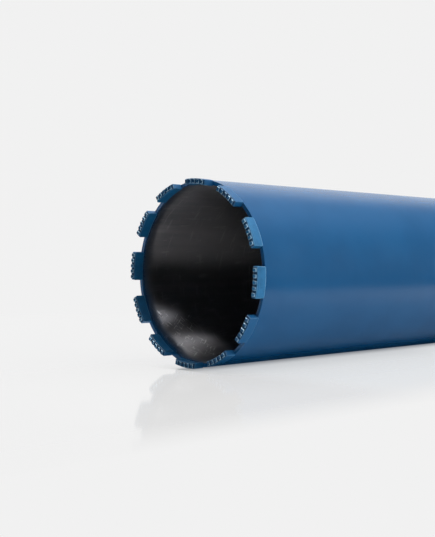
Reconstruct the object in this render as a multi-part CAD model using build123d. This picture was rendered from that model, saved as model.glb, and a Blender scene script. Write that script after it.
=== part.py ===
from build123d import *

import os
from math import degrees

# A wet diamond core bit for a drill rig: a plain steel barrel with a ring of diamond
# segments welded to its mouth, and a back plate with a threaded hub at its other end.
# It stands on its segments. The origin is the centre of the cutting plane, +Z runs up
# the barrel to the hub, and one segment is centred on +X. Millimetres and degrees.

# Crown of segments
cutting_diameter = 152.0        # over the outer faces of the segments
segment_count = 12
segment_length = 24.0           # chord along the middle of a segment
segment_thickness = 4.5         # radial
segment_height = 10.0           # from the weld to the tips of the nubs
outside_relief = 0.6            # how far a segment stands proud of the barrel
tip_corner_radius = 1.1         # at the two corners of the working edge
end_bevel = 0.3                 # along the four upright edges at its two ends

# Nubs that the working face of each segment is moulded with
nub_count = 5
nub_pitch = 4.6
nub_width = 2.7                 # along the segment
nub_height = 1.2
nub_inset = 0.5                 # from the inner and outer faces of the segment
nub_bevel = 0.35
crown_bevel = 0.4               # long edges of the face between the nubs

# Barrel
barrel_length = 450.0
barrel_wall = 3.0

# Back plate: a flange on the end of the barrel, with a spigot down inside it
flange_thickness = 6.0
spigot_depth = 5.0
flange_bevel = 2.5
fit_clearance = 0.1             # radial, of each spigot in its bore

# Hub: a collar on the plate, a hexagon for the spanner, and a foot through the plate
collar_diameter = 52.0
collar_height = 13.0
collar_bevel = 2.0
hexagon_across_flats = 41.0
hexagon_height = 35.0
hexagon_corner_bevel = 2.0      # height that the turned top takes off the six corners
hub_foot_diameter = 40.0
hub_weld_leg = 6.0              # fillet weld around the collar

# Female spindle thread, 1 1/4 in - 7 UNC, right through the hub so that water can pass:
# a plain bore at the thread's major diameter
thread_diameter = 31.75
thread_mouth_bevel = 1.5

# Radii and heights that follow
cutting_radius = cutting_diameter / 2
segment_inner_radius = cutting_radius - segment_thickness
segment_mid_radius = cutting_radius - segment_thickness / 2
barrel_radius = cutting_radius - outside_relief
barrel_bore_radius = barrel_radius - barrel_wall
mouth_z = segment_height
flange_z = mouth_z + barrel_length
plate_top_z = flange_z + flange_thickness
plate_foot_z = flange_z - spigot_depth
hub_top_z = plate_top_z + collar_height + hexagon_height


def ring(outer_radius, inner_radius, low_z, high_z):
    """A plain ring about the axis, between two heights."""
    blank = Cylinder(outer_radius, high_z - low_z) - Cylinder(inner_radius, high_z - low_z)
    return Pos(0, 0, (low_z + high_z) / 2) * blank


def turned(*points):
    """A solid turned about the axis from an outline of (radius, height) points."""
    outline = make_face(Polyline(*[(radius, 0, height) for radius, height in points], close=True))
    return revolve(outline, Axis.Z)


def segment_body():
    """The block of a segment on +X: bevelled at its ends, with rounded tip corners."""
    band = Circle(cutting_radius) - Circle(segment_inner_radius)
    plan = band & Pos(segment_mid_radius, 0) * Rectangle(4 * segment_thickness, segment_length)
    plan = chamfer(plan.vertices(), end_bevel)
    block_height = mouth_z - nub_height
    side = Plane.YZ * Pos(0, nub_height + block_height / 2) * Rectangle(segment_length, block_height)
    side = fillet(side.vertices().group_by(Axis.Z)[0], tip_corner_radius)
    block = extrude(plan, mouth_z) & extrude(side, 2 * cutting_radius)
    return block & turned(
        (segment_inner_radius + crown_bevel, nub_height),
        (cutting_radius - crown_bevel, nub_height),
        (cutting_radius, nub_height + crown_bevel),
        (cutting_radius, mouth_z),
        (segment_inner_radius, mouth_z),
        (segment_inner_radius, nub_height + crown_bevel),
    )


def nub(offset):
    """One bevelled nub, at a distance along the working face of the segment on +X."""
    nub_depth = segment_thickness - 2 * nub_inset
    block = Pos(segment_mid_radius, 0, nub_height / 2) * Box(nub_depth, nub_width, nub_height)
    tip = block.faces().sort_by(Axis.Z)[0]
    bearing = degrees(offset / segment_mid_radius)
    return Rot(0, 0, bearing) * chamfer(tip.edges(), nub_bevel)


def segment():
    """One diamond segment, centred on +X, with its row of nubs."""
    shape = segment_body()
    for index in range(nub_count):
        shape += nub((index - (nub_count - 1) / 2) * nub_pitch)
    return shape


def barrel_tube():
    """The barrel: a plain tube, open at the mouth."""
    return ring(barrel_radius, barrel_bore_radius, mouth_z, flange_z)


def end_plate():
    """The back plate, with the fillet weld that holds the hub's collar."""
    spigot_radius = barrel_bore_radius - fit_clearance
    bore_radius = hub_foot_diameter / 2 + fit_clearance
    collar_radius = collar_diameter / 2
    return turned(
        (bore_radius, plate_foot_z),
        (spigot_radius, plate_foot_z),
        (spigot_radius, flange_z),
        (barrel_radius, flange_z),
        (barrel_radius, plate_top_z - flange_bevel),
        (barrel_radius - flange_bevel, plate_top_z),
        (collar_radius + hub_weld_leg, plate_top_z),
        (collar_radius, plate_top_z + hub_weld_leg),
        (collar_radius, plate_top_z),
        (bore_radius, plate_top_z),
    )


def hub():
    """The threaded hub: foot, collar and hexagon in one turned and milled piece."""
    collar_radius = collar_diameter / 2
    collar_top_z = plate_top_z + collar_height
    turned_base = turned(
        (0, plate_foot_z),
        (hub_foot_diameter / 2, plate_foot_z),
        (hub_foot_diameter / 2, plate_top_z),
        (collar_radius, plate_top_z),
        (collar_radius, collar_top_z - collar_bevel),
        (collar_radius - collar_bevel, collar_top_z),
        (0, collar_top_z),
    )
    flats = RegularPolygon(hexagon_across_flats / 2, 6, major_radius=False)
    hexagon = extrude(Pos(0, 0, collar_top_z) * flats, hexagon_height)
    corner_radius = hexagon_across_flats / 3**0.5
    hexagon &= turned(
        (0, collar_top_z),
        (corner_radius, collar_top_z),
        (corner_radius, hub_top_z - hexagon_corner_bevel),
        (hexagon_across_flats / 2, hub_top_z),
        (0, hub_top_z),
    )
    thread_radius = thread_diameter / 2
    bore = turned(
        (0, plate_foot_z),
        (thread_radius, plate_foot_z),
        (thread_radius, hub_top_z - thread_mouth_bevel),
        (thread_radius + thread_mouth_bevel, hub_top_z),
        (0, hub_top_z),
    )
    return turned_base + hexagon - bore


os.makedirs("parts", exist_ok=True)
export_step(barrel_tube(), "parts/barrel_tube.step")
export_step(end_plate(), "parts/end_plate.step")
export_step(hub(), "parts/hub.step")
first_segment = segment()
for number in range(segment_count):
    turned_segment = Rot(0, 0, number * 360 / segment_count) * first_segment
    export_step(turned_segment, f"parts/segment_{number + 1:02d}.step")
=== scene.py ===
import math

import bmesh
import bpy
from mathutils import Matrix, Vector


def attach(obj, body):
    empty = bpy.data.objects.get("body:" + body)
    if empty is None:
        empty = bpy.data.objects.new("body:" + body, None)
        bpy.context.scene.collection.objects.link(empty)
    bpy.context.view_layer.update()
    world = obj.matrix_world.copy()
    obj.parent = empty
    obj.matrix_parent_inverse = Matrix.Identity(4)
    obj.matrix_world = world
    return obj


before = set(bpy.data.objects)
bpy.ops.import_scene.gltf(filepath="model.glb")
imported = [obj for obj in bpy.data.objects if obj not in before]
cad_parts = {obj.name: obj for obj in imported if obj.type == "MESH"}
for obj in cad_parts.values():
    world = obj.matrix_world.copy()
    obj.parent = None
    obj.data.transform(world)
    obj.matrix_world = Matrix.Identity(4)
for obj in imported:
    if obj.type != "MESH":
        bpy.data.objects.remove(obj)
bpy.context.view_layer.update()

# ---------------------------------------------------------------------------
# Sizes, in metres. The row frame stands the bit on its segments, +Z to the hub.
# ---------------------------------------------------------------------------
CUTTING_RADIUS = 0.076           # over the outer faces of the segments
SEGMENT_INNER_RADIUS = 0.0715
SEGMENT_LENGTH = 0.024
SEGMENT_COUNT = 12
BARREL_RADIUS = 0.0754
BORE_RADIUS = 0.0724
MOUTH_Z = 0.010                  # the end of the barrel, where the segments sit
NUB_HEIGHT = 0.0012
NUB_BEVEL = 0.00035
GRIT_DEPTH = 0.0037              # from the tips of the nubs to the plain foot of a segment
PLATE_TOP_Z = 0.466
THREAD_RADIUS = 0.015875
THREAD_CREST_RADIUS = 0.0142
THREAD_PITCH = 0.0254 / 7
THREAD_FOOT_Z = 0.4555
THREAD_TOP_Z = 0.5125
COLLAR_RADIUS = 0.026
WELD_LEG = 0.006

# The photograph's bit lies on its side. These are its way up and the side that faces
# the camera, as directions across the standing bit.
OVERHEAD = Vector((-0.81965, 0.57286, 0.0))
NEAR_SIDE = Vector((-0.57286, -0.81965, 0.0))
BARREL_WAY = Vector((0.0, 0.0, 1.0))

CAMERA_PLACE = Vector((-0.322698, -0.450142, -0.484576))
CAMERA_RIGHT = Vector((-0.387392, -0.561127, 0.731480))
CAMERA_UP = Vector((-0.819640, 0.572853, 0.005361))
CAMERA_LENS = 61.82              # in millimetres, on a sensor 36 mm wide


def across_bit(bearing):
    """The direction at a bearing in degrees, from the near side towards overhead."""
    turn = math.radians(bearing)
    return math.cos(turn) * NEAR_SIDE + math.sin(turn) * OVERHEAD


RUBBED_SIDE = across_bit(229.1)  # where cores have scratched the bore
UNSHADED_SIDE = across_bit(10.0)     # midway between the two segments that the painted shade leaves out


# ---------------------------------------------------------------------------
# Node helpers
# ---------------------------------------------------------------------------
class Nodes:
    """A short way to write one node tree."""

    def __init__(self, owner):
        owner.use_nodes = True
        self.tree = owner.node_tree
        self.tree.nodes.clear()

    def add(self, kind, **values):
        """A node, with its settings by name and its sockets by label."""
        node = self.tree.nodes.new(kind)
        for name, value in values.items():
            if hasattr(node, name):
                setattr(node, name, value)
            else:
                node.inputs[name.replace("_", " ")].default_value = value
        return node

    def join(self, source, target):
        """Links an output to an input."""
        self.tree.links.new(source, target)

    def maths(self, operation, first, second=None, clamp=False):
        """A Math node on sockets or numbers."""
        node = self.tree.nodes.new("ShaderNodeMath")
        node.operation = operation
        node.use_clamp = clamp
        for socket, value in zip(node.inputs, (first, second)):
            if value is None:
                continue
            if isinstance(value, (int, float)):
                socket.default_value = value
            else:
                self.join(value, socket)
        return node.outputs[0]

    def product(self, first, *others):
        """The product of sockets or numbers."""
        for other in others:
            first = self.maths("MULTIPLY", first, other)
        return first

    def total(self, first, *others):
        """The sum of sockets or numbers."""
        for other in others:
            first = self.maths("ADD", first, other)
        return first

    def largest(self, first, *others):
        """The largest of sockets or numbers."""
        for other in others:
            first = self.maths("MAXIMUM", first, other)
        return first

    def rest(self, share):
        """What a share leaves of 1."""
        return self.maths("SUBTRACT", 1.0, share)

    def noise(self, place, scale, detail=3.0, roughness=0.5):
        """Noise from 0 to 1, with so many waves to the metre."""
        node = self.tree.nodes.new("ShaderNodeTexNoise")
        node.inputs["Scale"].default_value = scale
        node.inputs["Detail"].default_value = detail
        node.inputs["Roughness"].default_value = roughness
        self.join(place, node.inputs["Vector"])
        return node.outputs[0]

    def blend(self, share, first, second):
        """Mixes two colours, each a socket or three numbers."""
        node = self.tree.nodes.new("ShaderNodeMix")
        node.data_type = "RGBA"
        self.join(share, node.inputs[0])
        for socket, value in ((node.inputs[6], first), (node.inputs[7], second)):
            if isinstance(value, tuple):
                socket.default_value = (*value, 1.0)
            else:
                self.join(value, socket)
        return node.outputs[2]

    def between(self, share, first, second):
        """A number that runs from first to second as share runs from 0 to 1."""
        node = self.tree.nodes.new("ShaderNodeMapRange")
        node.clamp = True
        self.join(share, node.inputs[0])
        node.inputs[3].default_value = first
        node.inputs[4].default_value = second
        return node.outputs[0]

    def step(self, value, low, high):
        """0 below low, 1 above high, and smooth between."""
        node = self.tree.nodes.new("ShaderNodeMapRange")
        node.interpolation_type = "SMOOTHSTEP"
        self.join(value, node.inputs[0])
        node.inputs[1].default_value = low
        node.inputs[2].default_value = high
        return node.outputs[0]

    def bump(self, height, strength, distance, under=None):
        """A normal that leans with a height, on top of another one if it is given."""
        node = self.tree.nodes.new("ShaderNodeBump")
        node.inputs["Strength"].default_value = strength
        node.inputs["Distance"].default_value = distance
        self.join(height, node.inputs["Height"])
        if under is not None:
            self.join(under, node.inputs["Normal"])
        return node.outputs[0]

    def place(self):
        """A place on the object, in the row frame."""
        return self.tree.nodes.new("ShaderNodeTexCoord").outputs["Object"]

    def stretched(self, place, scale):
        """A place with each of its coordinates scaled."""
        node = self.tree.nodes.new("ShaderNodeMapping")
        node.inputs["Scale"].default_value = scale
        self.join(place, node.inputs["Vector"])
        return node.outputs[0]

    def round_the_axis(self, place):
        """(radius, angle in turns, height) of a place, as three sockets."""
        parts = self.tree.nodes.new("ShaderNodeSeparateXYZ")
        self.join(place, parts.inputs[0])
        x, y, z = parts.outputs
        radius = self.maths("SQRT", self.total(self.product(x, x), self.product(y, y)))
        turn = self.maths("DIVIDE", self.maths("ARCTAN2", y, x), 2 * math.pi)
        return radius, turn, z

    def along(self, place, way):
        """How far a place lies along a direction."""
        node = self.tree.nodes.new("ShaderNodeVectorMath")
        node.operation = "DOT_PRODUCT"
        self.join(place, node.inputs[0])
        node.inputs[1].default_value = way
        return node.outputs["Value"]

    def vector(self, x, y, z):
        """Three sockets or numbers as one vector."""
        node = self.tree.nodes.new("ShaderNodeCombineXYZ")
        for socket, value in zip(node.inputs, (x, y, z)):
            if isinstance(value, (int, float)):
                socket.default_value = value
            else:
                self.join(value, socket)
        return node.outputs[0]

    def surface(self, shader):
        """Puts a shader's output on the surface."""
        self.join(shader, self.add("ShaderNodeOutputMaterial").inputs["Surface"])

    def shader(self, **values):
        """The Principled shader on the surface, with its constants set on it."""
        node = self.add("ShaderNodeBsdfPrincipled", **values)
        self.surface(node.outputs[0])
        return node

    def mixed(self, share, first, second):
        """Two shaders' outputs mixed: the second one's share runs from 0 to 1."""
        node = self.add("ShaderNodeMixShader")
        for socket, value in zip(node.inputs, (share, first, second)):
            self.join(value, socket)
        return node.outputs[0]


# ---------------------------------------------------------------------------
# Materials
# ---------------------------------------------------------------------------
BARREL_BLUE = (0.006, 0.108, 0.285)
BARREL_BLUE_DEEP = (0.004, 0.096, 0.260)
OVERSPRAY = (0.002, 0.034, 0.075)
SEGMENT_BLUE = (0.013, 0.190, 0.430)
SEGMENT_BLUE_DEEP = (0.006, 0.135, 0.325)
# Painted shade on all but two segments
SEGMENT_BLUE_PAINTED_SHADE = (0.008, 0.118, 0.300)
# Painted highlight along the segments' edges
SEGMENT_EDGE_HIGHLIGHT = (0.110, 0.330, 0.560)
# Painted shade between the nubs
SEGMENT_RECESS_PAINTED_SHADE = (0.003, 0.072, 0.185)
# Worn metal, in a pale blue that also paints the nubs' glints
WORN_METAL_AND_GLINT = (0.54, 0.82, 0.98)
BARE_STEEL_DARK = (0.181, 0.181, 0.197)
BARE_STEEL_BROWN = (0.258, 0.250, 0.261)
SCRATCHED_STEEL = (0.70, 0.70, 0.72)
HUB_STEEL = (0.42, 0.43, 0.44)
HUB_STEEL_DARK = (0.30, 0.305, 0.31)

# The enamel: the sizes of its clouds, of its gloss's patches and of its orange peel,
# in waves to the metre, and the height of the peel
CLOUDS = 22.0
GLOSS_PATCHES = 35.0
PEEL = 420.0
PEEL_HEIGHT = 0.0004

# Grain of the segments and turning rings of the hub, in waves to the metre, and how
# high they stand
GRAIN = 1500.0
GRAIN_HEIGHT = 0.0004
RINGS = 900.0
RING_HEIGHT = 0.0002

# The spray that reached into the mouth: where it starts to thin out and where it has
# ended, from the mouth, and what its wavy, speckled edge and one side add to that
SPRAY_THINS = -0.0130
SPRAY_ENDS = 0.0010
SPRAY_WAVE = 0.016
SPRAY_SPECKLE = 0.006
SPRAY_DEEPER = 0.0030
DUST_STARTS = 0.0003             # from the mouth: full paint turns into dark overspray
DUST_FULL = 0.0030
WALL_CROSSED = (0.0014, 0.0020)  # how deep in the wall the outside turns into the inside

# Scratches in the bore: a slant in degrees from its girth and a fineness for each family
SCRATCHES = ((52.0, 620.0), (-34.0, 800.0))
MARKS = ((5.0, 330.0), (83.0, 330.0))
MARK_STRENGTH = 0.14
SCRATCH_DEPTH = 0.00015
SCRATCHED_TO = (0.070, 0.045)    # no scratches above the first height, all below the second


def paint_colour(nodes, place):
    """The barrel's enamel: a little lighter and deeper in soft clouds."""
    clouds = nodes.noise(place, CLOUDS, detail=4.0)
    return nodes.blend(nodes.step(clouds, 0.35, 0.65), BARREL_BLUE_DEEP, BARREL_BLUE)


def scratch_lines(nodes, girth, height, slant, fineness):
    """Fine lines on the bore, at a slant in degrees from its girth: 1 on a line, or 0."""
    cosine, sine = math.cos(math.radians(slant)), math.sin(math.radians(slant))
    along = nodes.total(nodes.product(girth, cosine), nodes.product(height, sine))
    across = nodes.maths("SUBTRACT", nodes.product(height, cosine), nodes.product(girth, sine))
    stretched = nodes.vector(nodes.product(along, fineness / 8), nodes.product(across, fineness), slant)
    return nodes.step(nodes.noise(stretched, 1.0, detail=2.0), 0.60, 0.68)


def scratch_families(nodes, girth, height, families):
    """The lines of several families of scratches together."""
    return nodes.largest(*[scratch_lines(nodes, girth, height, slant, fineness)
                           for slant, fineness in families])


def bore_shares(nodes, place, radius, height, aside):
    """How far a place is inside the tube, and how far it is bare of paint."""
    drift = nodes.noise(nodes.stretched(place, (26.0, 26.0, 8.0)), 1.0, detail=2.0)
    speckle = nodes.noise(place, 1400.0, detail=2.0)
    edge = nodes.total(nodes.product(drift, SPRAY_WAVE), nodes.product(speckle, SPRAY_SPECKLE),
                       nodes.between(nodes.step(aside, 0.0, 0.9), 0.0, SPRAY_DEEPER))
    past_spray = nodes.step(nodes.maths("SUBTRACT", height, edge),
                            MOUTH_Z + SPRAY_THINS, MOUTH_Z + SPRAY_ENDS)
    inside = nodes.step(radius, BARREL_RADIUS - WALL_CROSSED[0], BARREL_RADIUS - WALL_CROSSED[1])
    return inside, nodes.product(past_spray, inside)


def bore_steel(nodes, place, turn, height, aside):
    """Satin steel, drawn along the tube and browned in broad patches: its colour, the
    streaks that it was drawn with, and its scratches."""
    streaks = nodes.noise(nodes.vector(nodes.product(turn, 60.0), nodes.product(height, 6.0), 0.0),
                          1.6, detail=6.0, roughness=0.6)
    patches = nodes.noise(nodes.stretched(place, (12.0, 12.0, 5.0)), 1.0, detail=4.0)
    brown = nodes.total(nodes.product(patches, 0.7), nodes.product(streaks, 0.3))
    steel = nodes.blend(nodes.step(brown, 0.40, 0.62), BARE_STEEL_DARK, BARE_STEEL_BROWN)

    # Short slanting scratches where cores have rubbed one side, and faint marks all round
    girth = nodes.product(turn, 2 * math.pi * BORE_RADIUS)
    worked = nodes.step(nodes.noise(nodes.vector(girth, height, 0.0), 70.0, detail=2.0), 0.40, 0.56)
    rubbed = nodes.product(nodes.step(aside, 0.86, 0.95), nodes.step(height, *SCRATCHED_TO))
    scratches = nodes.product(scratch_families(nodes, girth, height, SCRATCHES), worked, rubbed)
    marks = nodes.product(scratch_families(nodes, girth, height, MARKS), worked, MARK_STRENGTH)
    return nodes.blend(nodes.largest(scratches, marks), steel, SCRATCHED_STEEL), streaks, scratches


def barrel_material():
    """Blue enamel outside, and dark bare steel inside, with overspray at the mouth."""
    material = bpy.data.materials.new("barrel_paint_and_bare_bore")
    nodes = Nodes(material)
    place = nodes.place()
    radius, turn, height = nodes.round_the_axis(place)
    aside = nodes.along(place, RUBBED_SIDE / BORE_RADIUS)
    inside, bare = bore_shares(nodes, place, radius, height, aside)
    steel, streaks, scratches = bore_steel(nodes, place, turn, height, aside)

    # The overspray is darker than full paint, but less so on the rubbed side
    dusted = nodes.product(inside, nodes.step(height, MOUTH_Z + DUST_STARTS, MOUTH_Z + DUST_FULL),
                           nodes.between(nodes.step(aside, 0.45, 0.95), 0.85, 0.15))
    paint = nodes.blend(dusted, paint_colour(nodes, place), OVERSPRAY)

    shader = nodes.shader(IOR=1.5, Anisotropic_Rotation=0.25)
    nodes.join(nodes.blend(bare, paint, steel), shader.inputs["Base Color"])
    nodes.join(nodes.product(bare, 0.95), shader.inputs["Metallic"])
    nodes.join(bare, shader.inputs["Anisotropic"])
    turned_way = nodes.add("ShaderNodeTangent", direction_type="RADIAL", axis="Z")
    nodes.join(turned_way.outputs[0], shader.inputs["Tangent"])
    paint_rough = nodes.between(nodes.noise(place, GLOSS_PATCHES), 0.20, 0.29)
    steel_rough = nodes.between(streaks, 0.36, 0.46)
    nodes.join(nodes.blend(bare, paint_rough, steel_rough), shader.inputs["Roughness"])
    relief = nodes.bump(nodes.product(scratches, bare), 1.0, SCRATCH_DEPTH)
    peel = nodes.product(nodes.noise(place, PEEL, detail=2.0), nodes.rest(bare))
    nodes.join(nodes.bump(peel, 0.10, PEEL_HEIGHT, relief), shader.inputs["Normal"])
    return material


def plate_material():
    """The same enamel as the barrel, on the back plate and its weld."""
    material = bpy.data.materials.new("plate_paint")
    nodes = Nodes(material)
    place = nodes.place()
    shader = nodes.shader()
    nodes.join(paint_colour(nodes, place), shader.inputs["Base Color"])
    nodes.join(nodes.between(nodes.noise(place, GLOSS_PATCHES), 0.28, 0.40), shader.inputs["Roughness"])
    peel = nodes.noise(place, PEEL, detail=2.0)
    nodes.join(nodes.bump(peel, 0.12, PEEL_HEIGHT), shader.inputs["Normal"])
    return material


# How far the paler edges of a segment, which paint its edge highlights, reach in, from its sides,
# its crown and its foot: the distance where they are full and the one where they have faded out
SIDE_EDGE = (0.0003, 0.0007)
CROWN_EDGE = (0.0004, 0.0008)
FOOT_EDGE = (0.0002, 0.0006)
RECESS_EDGE = (0.0001, 0.0003)   # how far above the crown the painted shade between nubs reaches
BEVEL_EDGE = (0.0, 0.00015)      # how far above a nub's bevel its wear and painted glint reach
SEAM_WIDTH = 0.0003              # of the line between a segment's grit and its plain foot
EDGES_UNDER_PAINTED_SHADE = 0.35         # how much of the painted edge highlights the painted shade leaves


def below(nodes, value, limit, reach):
    """1 from just below a limit upwards, and 0 where the value is further down."""
    return nodes.step(value, limit - reach[1], limit - reach[0])


def above(nodes, value, limit, reach):
    """1 from just above a limit downwards, and 0 where the value is further up."""
    return nodes.step(value, limit + reach[1], limit + reach[0])


def painted_edge_highlights(nodes, radius, turn, height):
    """1 on the edges of a segment, where a paler colour paints their highlights, and 0 away from them."""
    share = nodes.maths("FRACT", nodes.total(nodes.product(turn, SEGMENT_COUNT), 0.5))
    angle = nodes.product(nodes.maths("SUBTRACT", share, 0.5), 2 * math.pi / SEGMENT_COUNT)
    from_middle = nodes.maths("ABSOLUTE", nodes.product(radius, nodes.maths("SINE", angle)))
    by_end = below(nodes, from_middle, SEGMENT_LENGTH / 2, SIDE_EDGE)
    by_inner_face = nodes.between(above(nodes, radius, SEGMENT_INNER_RADIUS, SIDE_EDGE), 0.0, 0.5)
    by_face = nodes.largest(below(nodes, radius, CUTTING_RADIUS, SIDE_EDGE), by_inner_face)
    by_crown = above(nodes, height, NUB_HEIGHT, CROWN_EDGE)
    by_foot = below(nodes, height, MOUTH_Z, FOOT_EDGE)
    return nodes.largest(nodes.product(by_end, nodes.largest(by_face, by_crown)),
                         nodes.product(by_face, nodes.largest(by_crown, by_foot)))


def segment_material():
    """Paint over sintered metal: grainy, with painted shade on most segments and between the nubs, painted
    highlights along the edges, and worn off the nubs, where a pale blue also paints their glints.
    """
    material = bpy.data.materials.new("segment_paint_on_grit")
    nodes = Nodes(material)
    place = nodes.place()
    radius, turn, height = nodes.round_the_axis(place)
    grain = nodes.noise(place, GRAIN, roughness=0.6)
    mottle = nodes.noise(place, 180.0, detail=4.0)
    tone = nodes.total(nodes.product(grain, 0.45), nodes.product(mottle, 0.55))
    paint = nodes.blend(nodes.step(tone, 0.36, 0.62), SEGMENT_BLUE_DEEP, SEGMENT_BLUE)

    # A deeper blue, near the barrel's own, on all but the two segments on the near side: painted shade
    unshaded_way = nodes.along(place, UNSHADED_SIDE / CUTTING_RADIUS)
    painted_segment_shade = nodes.product(nodes.step(unshaded_way, 0.90, 0.82),
                          nodes.between(nodes.step(unshaded_way, -0.15, 0.10), 0.35, 1.0))
    paint = nodes.blend(painted_segment_shade, paint, SEGMENT_BLUE_PAINTED_SHADE)

    # Painted shade between the nubs, paler edges as painted highlights, a pale grit seam, and worn metal on
    # the bevels of the nubs
    recess_with_painted_shade = nodes.product(nodes.step(height, NUB_BEVEL, NUB_HEIGHT - 0.0002),
                           above(nodes, height, NUB_HEIGHT, RECESS_EDGE))
    paint = nodes.blend(recess_with_painted_shade, paint, SEGMENT_RECESS_PAINTED_SHADE)
    rubbed = nodes.step(nodes.noise(place, 420.0), 0.40, 0.56)
    # The paler edges are painted highlights
    edge = nodes.product(painted_edge_highlights(nodes, radius, turn, height), nodes.between(rubbed, 0.35, 0.85))
    from_seam = nodes.maths("ABSOLUTE", nodes.maths("SUBTRACT", height, GRIT_DEPTH))
    seam = nodes.between(nodes.step(from_seam, 0.0, SEAM_WIDTH), 0.30, 0.0)
    pale = nodes.product(nodes.largest(edge, seam), nodes.between(painted_segment_shade, 1.0, EDGES_UNDER_PAINTED_SHADE))
    paint = nodes.blend(pale, paint, SEGMENT_EDGE_HIGHLIGHT)
    # Worn metal on the nub bevels, whose pale blue is also a painted glint
    bevel = nodes.product(above(nodes, height, NUB_BEVEL, BEVEL_EDGE), nodes.step(height, 0.0, 0.00005))
    worn = nodes.product(bevel, nodes.between(rubbed, 0.25, 0.95))

    shader = nodes.shader(IOR=1.45)
    nodes.join(nodes.blend(worn, paint, WORN_METAL_AND_GLINT), shader.inputs["Base Color"])
    nodes.join(nodes.product(worn, 0.25), shader.inputs["Metallic"])
    rough = nodes.total(nodes.between(mottle, 0.30, 0.42), nodes.product(recess_with_painted_shade, 0.2))
    nodes.join(rough, shader.inputs["Roughness"])
    nodes.join(nodes.bump(grain, 0.35, GRAIN_HEIGHT), shader.inputs["Normal"])
    return material


def hub_material():
    """Bare turned steel, with fine rings round the axis and a few darker blotches."""
    material = bpy.data.materials.new("hub_turned_steel")
    nodes = Nodes(material)
    place = nodes.place()
    radius, turn, height = nodes.round_the_axis(place)
    shader = nodes.shader(Metallic=1.0)
    ring_place = nodes.vector(nodes.product(radius, RINGS), turn, nodes.product(height, RINGS))
    rings = nodes.noise(ring_place, 1.0, detail=4.0, roughness=0.6)
    blotches = nodes.noise(place, 90.0, detail=4.0)
    steel = nodes.blend(nodes.step(blotches, 0.35, 0.70), HUB_STEEL, HUB_STEEL_DARK)
    nodes.join(steel, shader.inputs["Base Color"])
    nodes.join(nodes.between(rings, 0.24, 0.42), shader.inputs["Roughness"])
    nodes.join(nodes.bump(rings, 0.15, RING_HEIGHT), shader.inputs["Normal"])
    return material


def dress(obj, material):
    """One material on the whole of an object."""
    obj.data.materials.clear()
    obj.data.materials.append(material)


# ---------------------------------------------------------------------------
# The CAD nodes
# ---------------------------------------------------------------------------
plate_paint = plate_material()
segment_paint = segment_material()
hub_steel = hub_material()
dress(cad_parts["barrel_tube"], barrel_material())
dress(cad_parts["end_plate"], plate_paint)
dress(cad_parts["hub"], hub_steel)
for number in range(1, SEGMENT_COUNT + 1):
    dress(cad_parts[f"segment_{number:02d}"], segment_paint)


# ---------------------------------------------------------------------------
# Pieces over the CAD: welds and the thread
# ---------------------------------------------------------------------------
def skin(name, rings, looped, material, crease=None):
    """A closed piece over a row of rings of points, joined end to end or capped."""
    count = len(rings[0])
    points = [point for ring in rings for point in ring]
    faces = []
    for step in range(len(rings) if looped else len(rings) - 1):
        here = step * count
        there = (step + 1) % len(rings) * count
        for index in range(count):
            following = (index + 1) % count
            faces.append((here + index, here + following, there + following, there + index))
    if not looped:
        faces.append(tuple(range(count)))
        faces.append(tuple(range(len(points) - count, len(points))))
    mesh = bpy.data.meshes.new(name)
    mesh.from_pydata(points, [], faces)
    shape = bmesh.new()
    shape.from_mesh(mesh)
    bmesh.ops.recalc_face_normals(shape, faces=shape.faces)
    shape.to_mesh(mesh)
    shape.free()
    mesh.shade_smooth()
    if crease is not None:
        mesh.set_sharp_from_angle(angle=math.radians(crease))
    obj = bpy.data.objects.new(name, mesh)
    bpy.context.scene.collection.objects.link(obj)
    dress(obj, material)
    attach(obj, "root")


def turned_point(radius, height, angle):
    """A place at a radius and height, at an angle in radians round the axis."""
    return (radius * math.cos(angle), radius * math.sin(angle), height)


def scale_height(distance, across, pitch, lag):
    """How full a weld bead is, from 0.7 to 1: overlapping scales with curved fronts."""
    phase = (distance + lag * across * across) / pitch
    return 0.7 + 0.3 * abs(math.sin(math.pi * phase)) ** 0.7


def weld_bead(name, foot, top, bulge, back, angles, pitch, looped, material):
    """A rippled bead over the corner between two places given as (radius, height)."""
    points_across = 9
    across_way = Vector(top) - Vector(foot)
    outward = Vector((across_way.y, -across_way.x)).normalized()
    if outward.dot(Vector(foot) - Vector(back)) < 0:
        outward = -outward
    rings = []
    for step, angle in enumerate(angles):
        ends = 1.0 if looped else math.sin(math.pi * step / (len(angles) - 1)) ** 0.3
        distance = angle * foot[0]
        ring = []
        for index in range(points_across):
            share = index / (points_across - 1)
            across = 2 * share - 1
            full = bulge * (1 - across * across) * scale_height(distance, across, pitch, 0.4 * pitch)
            spot = Vector(foot).lerp(Vector(top), share) + outward * full * ends
            ring.append(turned_point(spot.x, spot.y, angle))
        ring.append(turned_point(back[0], back[1], angle))
        rings.append(ring)
    skin(name, rings, looped, material)


SEGMENT_WELD_PITCH = 0.0009
SEGMENT_WELD_END = 0.0004        # how far short of the ends of a segment its welds stop
SEGMENT_WELD_BURIED = 0.0004     # how deep the hidden edge of a weld lies
SEGMENT_WELD_FOOT = 0.0002       # how far over the segment a weld reaches
PLATE_WELD_SCALES = 84
PLATE_WELD_BULGE = 0.0009
PLATE_WELD_REACH = 0.0003        # how far its bead reaches past the plain fillet
PLATE_WELD_SINK = 0.0001         # how far its edges sink into the plate and the collar
PLATE_WELD_BURIED = 0.001


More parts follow.
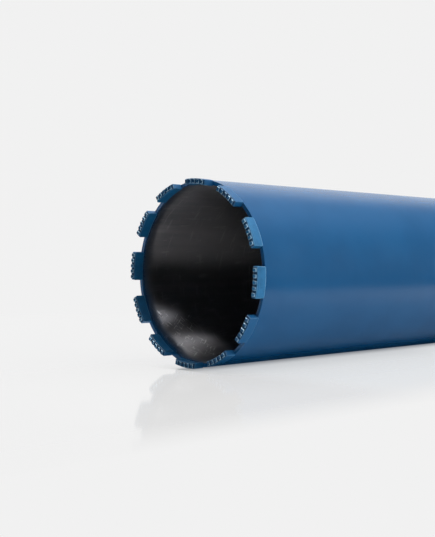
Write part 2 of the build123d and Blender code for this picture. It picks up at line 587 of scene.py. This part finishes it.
def segment_welds():
    """The laser weld at the foot of each segment, outside and inside."""
    steps = 96
    half = math.asin((SEGMENT_LENGTH / 2 - SEGMENT_WELD_END) / CUTTING_RADIUS)
    foot_z = MOUTH_Z - SEGMENT_WELD_FOOT
    back_z = MOUTH_Z - SEGMENT_WELD_BURIED
    # Foot and top of each bead, as (radius, height), its bulge, and its buried back
    sides = (
        ("outer", (CUTTING_RADIUS - 0.00004, foot_z), (BARREL_RADIUS - 0.00005, MOUTH_Z + 0.0010),
         0.00014, (BARREL_RADIUS - SEGMENT_WELD_BURIED, back_z)),
        ("inner", (SEGMENT_INNER_RADIUS + 0.00004, foot_z), (BORE_RADIUS + 0.00005, MOUTH_Z + 0.0012),
         0.00016, (BORE_RADIUS + SEGMENT_WELD_BURIED, back_z)),
    )
    for number in range(SEGMENT_COUNT):
        middle = 2 * math.pi * number / SEGMENT_COUNT
        angles = [middle + half * (2 * step / steps - 1) for step in range(steps + 1)]
        for side, foot, top, bulge, back in sides:
            weld_bead(f"segment_weld_{side}_{number + 1:02d}", foot, top, bulge, back, angles,
                      SEGMENT_WELD_PITCH, False, segment_paint)


def plate_weld():
    """The rippled fillet weld round the hub's collar."""
    steps = 720
    pitch = 2 * math.pi * (COLLAR_RADIUS + WELD_LEG) / PLATE_WELD_SCALES
    angles = [2 * math.pi * step / steps for step in range(steps)]
    leg = WELD_LEG + PLATE_WELD_REACH
    foot = (COLLAR_RADIUS + leg, PLATE_TOP_Z - PLATE_WELD_SINK)
    top = (COLLAR_RADIUS - PLATE_WELD_SINK, PLATE_TOP_Z + leg)
    back = (COLLAR_RADIUS + PLATE_WELD_BURIED, PLATE_TOP_Z + PLATE_WELD_BURIED)
    weld_bead("hub_weld_ripples", foot, top, PLATE_WELD_BULGE, back, angles, pitch, True,
              plate_paint)


def hub_thread():
    """The female thread of the spindle socket, as one ridge wound up its bore."""
    steps_a_turn = 48
    run_out_steps = 12               # over which each end of the ridge sinks into the bore
    root_radius = THREAD_RADIUS + 0.0003
    turns = (THREAD_TOP_Z - THREAD_FOOT_Z) / THREAD_PITCH - 1
    steps = int(turns * steps_a_turn)
    rings = []
    for step in range(steps + 1):
        angle = 2 * math.pi * step / steps_a_turn
        height = THREAD_FOOT_Z + THREAD_PITCH * (0.5 + step / steps_a_turn)
        run_out = min(1.0, step / run_out_steps, (steps - step) / run_out_steps)
        crest = THREAD_RADIUS - (THREAD_RADIUS - THREAD_CREST_RADIUS) * run_out
        # Radii, and heights in pitches, round one section of the ridge
        profile = ((root_radius, -0.47), (THREAD_RADIUS, -0.43), (crest, -0.09),
                   (crest, 0.09), (THREAD_RADIUS, 0.43), (root_radius, 0.47))
        rings.append([turned_point(radius, height + rise * THREAD_PITCH, angle)
                      for radius, rise in profile])
    skin("hub_thread", rings, False, hub_steel, crease=35)


segment_welds()
plate_weld()
hub_thread()


# ---------------------------------------------------------------------------
# Stage: two one-sided floors, light and camera
# ---------------------------------------------------------------------------
PALE = 0.88                      # the backdrop
# Painted blue reflection of the barrel on the floor beside it
PALE_WITH_PAINTED_BLUE_REFLECTION = (0.861, 0.880, 0.895)
FAR = 8.0                        # from the bit to the edges of the floors
TABLE_EDGE = 0.24                # the lying floor ends here, on the near side
TABLE_FADE = 0.07                # and turns plain over this distance before it

# How much of the floor's paleness is its own, in the contact shadow, beside it and what
# is added further off, and how bright the floor is to diffuse rays and to mirrors
OWN_LIGHT_AT_CONTACT = 0.26
OWN_LIGHT_BESIDE = 0.76
OWN_LIGHT_ADDED_FURTHER = 0.16
FLOOR_BOUNCE = 0.50
FLOOR_MIRRORED = 0.72
STANDING_PLAIN = (0.16, 0.34)    # from the origin: where each floor turns plain
LYING_PLAIN = (0.50, 0.90)
HUB_END_PLAIN = (0.34, 0.50)     # heights at which the lying floor turns plain

# A distance from the bit on the lying floor counts more ahead of the segments, from so
# far in front of them, and on the far side
AHEAD_STARTS = 0.008
AHEAD_COUNTS = 12.0
FAR_SIDE_COUNTS = 2.0

# Between which distances from the bit the floors' shadow fades, close to it and wider,
# and between which heights, sides and distances the painted blue reflection and the gloss change
CLOSE_SHADOW = (-0.004, 0.030)
WIDE_SHADOW = (0.010, 0.09)
BLUE_UP = (-0.03, 0.04)
BLUE_NEAR = (-0.02, 0.02)
BLUE_ENDS = (0.25, 0.13)
GLOSS_ENDS_UP = (0.22, 0.34)
GLOSS_ENDS_BEHIND = (-0.04, -0.14)
GLOSS_WEAKER_UP = (-0.03, 0.03)
GLOSS_WEAKER_NEAR = (0.08, 0.18)


def lying_gap(nodes, near, height):
    """How far off the bit a place on the lying floor is. Ahead of the segments and on the
    far side, where the shadow is short, a distance counts more."""
    before_mouth = nodes.maths("MINIMUM", nodes.total(height, AHEAD_STARTS), 0.0)
    ahead = nodes.product(before_mouth, AHEAD_COUNTS)
    beside = nodes.largest(near, nodes.product(near, -FAR_SIDE_COUNTS))
    return nodes.maths("SQRT", nodes.total(nodes.product(beside, beside), nodes.product(ahead, ahead)))


def lying_bounce(nodes, diffuse, tone, gap, near, height):
    """The lying floor as the bit sees it: its tone, with a painted shadow close to the bit and darker
    towards the table's edge and ahead of the mouth, and its own light for diffuse rays.
    Each step holds two distances, and each between the values at its two ends."""
    # Painted shadow: the tone darkens close to the bit
    close_by = nodes.between(nodes.step(gap, 0.040, 0.068), 0.72, 0.46)
    further = nodes.between(nodes.step(gap, 0.08, 0.20), 0.46, 0.95)
    tone = nodes.product(tone, nodes.largest(close_by, further), nodes.step(gap, 0.026, 0.042),
                         nodes.between(nodes.step(near, 0.14, TABLE_EDGE), 1.0, 0.6),
                         nodes.step(height, -0.50, -0.15))
    fill = nodes.between(nodes.step(gap, 0.03, 0.10), 0.0, 0.50)
    beneath = nodes.between(nodes.step(nodes.maths("ABSOLUTE", near), 0.030, 0.012), 0.0, 0.22)
    return tone, nodes.product(diffuse, nodes.largest(fill, beneath))


def floor_material(name, gloss, albedo, lying):
    """A pale floor that only shows from its upper side, and lets light through from below.

    Part of its paleness is its own, which keeps the object's shadow soft, and far from
    the bit all of it is. Only the lying one bounces light on the bit.
    """
    material = bpy.data.materials.new(name)
    nodes = Nodes(material)
    path = nodes.add("ShaderNodeLightPath").outputs
    camera, diffuse = path["Is Camera Ray"], path["Is Diffuse Ray"]
    place = nodes.place()
    span = nodes.add("ShaderNodeVectorMath", operation="LENGTH")
    nodes.join(place, span.inputs[0])
    span = span.outputs["Value"]
    near = nodes.along(place, NEAR_SIDE)
    height = nodes.along(place, BARREL_WAY)

    # Only the camera sees the part of a floor that lies inside the bit
    outside = nodes.step(span, BORE_RADIUS, BORE_RADIUS + 0.002)
    shown = nodes.product(nodes.rest(nodes.add("ShaderNodeNewGeometry").outputs["Backfacing"]),
                          nodes.largest(outside, camera))
    if not lying:
        seen = nodes.maths("ADD", nodes.total(camera, path["Is Glossy Ray"]),
                           path["Is Transmission Ray"], clamp=True)
        shown = nodes.product(seen, shown)

    # Far from the bit the floor is as plain as the backdrop behind it
    tone = nodes.between(diffuse, FLOOR_MIRRORED, FLOOR_BOUNCE)
    if lying:
        plain = nodes.largest(nodes.step(span, *LYING_PLAIN), nodes.step(height, *HUB_END_PLAIN),
                              nodes.step(near, TABLE_EDGE - TABLE_FADE, TABLE_EDGE))
        gap = lying_gap(nodes, near, height)
        tone, fill = lying_bounce(nodes, diffuse, tone, gap, near, height)
    else:
        plain = nodes.step(span, *STANDING_PLAIN)
        gap = nodes.maths("SUBTRACT", span, CUTTING_RADIUS)
        fill = 0.0

    # The shares of its own light and of its gloss, and the painted blue reflection beside the barrel
    own_share = nodes.total(
        nodes.between(nodes.step(gap, *CLOSE_SHADOW), OWN_LIGHT_AT_CONTACT, OWN_LIGHT_BESIDE),
        nodes.between(nodes.step(gap, *WIDE_SHADOW), 0.0, OWN_LIGHT_ADDED_FURTHER))
    own_share = nodes.largest(nodes.product(own_share, nodes.between(outside, 0.3, 1.0)), plain)
    painted_blue_reflection = nodes.product(nodes.step(height, *BLUE_UP), nodes.step(near, *BLUE_NEAR),
                         nodes.step(gap, *BLUE_ENDS), nodes.rest(plain))
    dull = nodes.largest(plain, nodes.step(height, *GLOSS_ENDS_UP), nodes.step(near, *GLOSS_ENDS_BEHIND))
    gloss_share = nodes.product(nodes.between(dull, gloss, 0.0),
                                nodes.between(nodes.step(height, *GLOSS_WEAKER_UP), 1.0, 0.7),
                                nodes.between(nodes.step(near, *GLOSS_WEAKER_NEAR), 1.0, 0.75))

    matt = nodes.add("ShaderNodeBsdfDiffuse")
    tone = nodes.largest(tone, nodes.between(camera, 0.0, albedo))
    nodes.join(nodes.vector(tone, tone, tone), matt.inputs["Color"])
    own = nodes.add("ShaderNodeEmission", Strength=1.0)
    nodes.join(nodes.blend(painted_blue_reflection, (PALE, PALE, PALE), PALE_WITH_PAINTED_BLUE_REFLECTION), own.inputs["Color"])
    sheen = nodes.add("ShaderNodeBsdfGlossy", Color=(1.0, 1.0, 1.0, 1.0), Roughness=0.07)
    clear = nodes.add("ShaderNodeBsdfTransparent")
    body = nodes.mixed(nodes.total(nodes.product(camera, own_share), fill), matt.outputs[0], own.outputs[0])
    body = nodes.mixed(gloss_share, body, sheen.outputs[0])
    nodes.surface(nodes.mixed(shown, clear.outputs[0], body))
    return material


def floor(name, corners, material):
    """A flat floor on four corners, which shows on the side they run anticlockwise."""
    mesh = bpy.data.meshes.new(name)
    mesh.from_pydata(corners, [], [(0, 1, 2, 3)])
    obj = bpy.data.objects.new(name, mesh)
    bpy.context.scene.collection.objects.link(obj)
    obj.visible_shadow = False
    dress(obj, material)


def sun(name, bearing, forward, strength, width, lights=True, mirrored=True):
    """A soft light from far off: its bearing in degrees from the near side towards
    overhead, how far it leans along the barrel, its strength and its width in degrees."""
    data = bpy.data.lights.new(name, "SUN")
    data.energy = strength * math.pi
    data.angle = math.radians(width)
    obj = bpy.data.objects.new(name, data)
    bpy.context.scene.collection.objects.link(obj)
    towards = across_bit(bearing) + forward * BARREL_WAY
    obj.rotation_mode = "QUATERNION"
    obj.rotation_quaternion = towards.to_track_quat("Z", "Y")
    obj.visible_diffuse = lights
    obj.visible_glossy = mirrored


floor("standing_floor", [(-FAR, -FAR, 0), (FAR, -FAR, 0), (FAR, FAR, 0), (-FAR, FAR, 0)],
      floor_material("pale_floor", gloss=0.04, albedo=0.62, lying=False))
table = OVERHEAD * -CUTTING_RADIUS
near_edge = table + TABLE_EDGE * NEAR_SIDE
far_edge = table - FAR * NEAR_SIDE
along_barrel = FAR * BARREL_WAY
floor("lying_floor", [near_edge + along_barrel, far_edge + along_barrel,
                      far_edge - along_barrel, near_edge - along_barrel],
      floor_material("pale_floor_lying", gloss=0.20, albedo=0.60, lying=True))

# Softboxes that only show as reflections, then the light itself, which isn't mirrored
sun("overhead_softbox", 103, forward=-0.22, strength=0.37, width=26, lights=False)
sun("overhead_softbox_edge", 91, forward=-0.48, strength=0.26, width=12, lights=False)
sun("side_softbox", 50, forward=-0.12, strength=0.34, width=12, lights=False)
sun("side_softbox_edge", 53, forward=-0.24, strength=0.14, width=10, lights=False)
sun("overhead_light", 95, forward=0.10, strength=0.60, width=60, mirrored=False)
sun("broad_light", 45, forward=0.85, strength=0.95, width=85, mirrored=False)
sun("far_side_fill", 202, forward=0.70, strength=0.55, width=70, mirrored=False)


def world_light():
    """The room. The camera sees a plain backdrop, mirrors a room that is pale behind the
    bit and overhead, and matt surfaces a soft light that comes from the hub's way."""
    world = bpy.data.worlds.new("studio")
    bpy.context.scene.world = world
    nodes = Nodes(world)
    way = nodes.add("ShaderNodeTexCoord").outputs["Generated"]
    up = nodes.along(way, OVERHEAD)
    near = nodes.along(way, NEAR_SIDE)
    hub_way = nodes.along(way, BARREL_WAY)
    path = nodes.add("ShaderNodeLightPath").outputs
    mirrored = nodes.maths("ADD", path["Is Glossy Ray"], path["Is Transmission Ray"], clamp=True)

    # Light on the object, then what metal and gloss mirror, then the plain backdrop
    room = nodes.between(nodes.step(hub_way, -0.35, 0.90), 0.03, 0.66)
    low = nodes.between(nodes.step(hub_way, 0.80, 1.0), 0.01, 0.30)
    behind = nodes.step(near, 0.0, -0.45)
    high = nodes.step(up, 0.40, 1.0)
    pale = nodes.product(nodes.largest(behind, high), nodes.step(hub_way, -0.35, -0.05))
    gloss = nodes.total(low, nodes.product(pale, nodes.maths("SUBTRACT", PALE, low)))
    light = nodes.blend(mirrored, nodes.vector(room, room, room), nodes.vector(gloss, gloss, gloss))
    background = nodes.add("ShaderNodeBackground", Strength=1.0)
    nodes.join(nodes.blend(path["Is Camera Ray"], light, (PALE, PALE, PALE)), background.inputs["Color"])
    nodes.join(background.outputs[0], nodes.add("ShaderNodeOutputWorld").inputs["Surface"])


world_light()

camera_data = bpy.data.cameras.new("camera")
camera_data.lens = CAMERA_LENS
camera_data.sensor_width = 36.0
camera_data.clip_start = 0.01
camera_data.clip_end = 50.0
camera = bpy.data.objects.new("camera", camera_data)
bpy.context.scene.collection.objects.link(camera)
back = CAMERA_RIGHT.cross(CAMERA_UP)
camera.matrix_world = Matrix.Translation(CAMERA_PLACE) @ Matrix(
    (CAMERA_RIGHT, CAMERA_UP, back)).transposed().to_4x4()
bpy.context.scene.camera = camera
bpy.context.scene.view_settings.view_transform = "Standard"
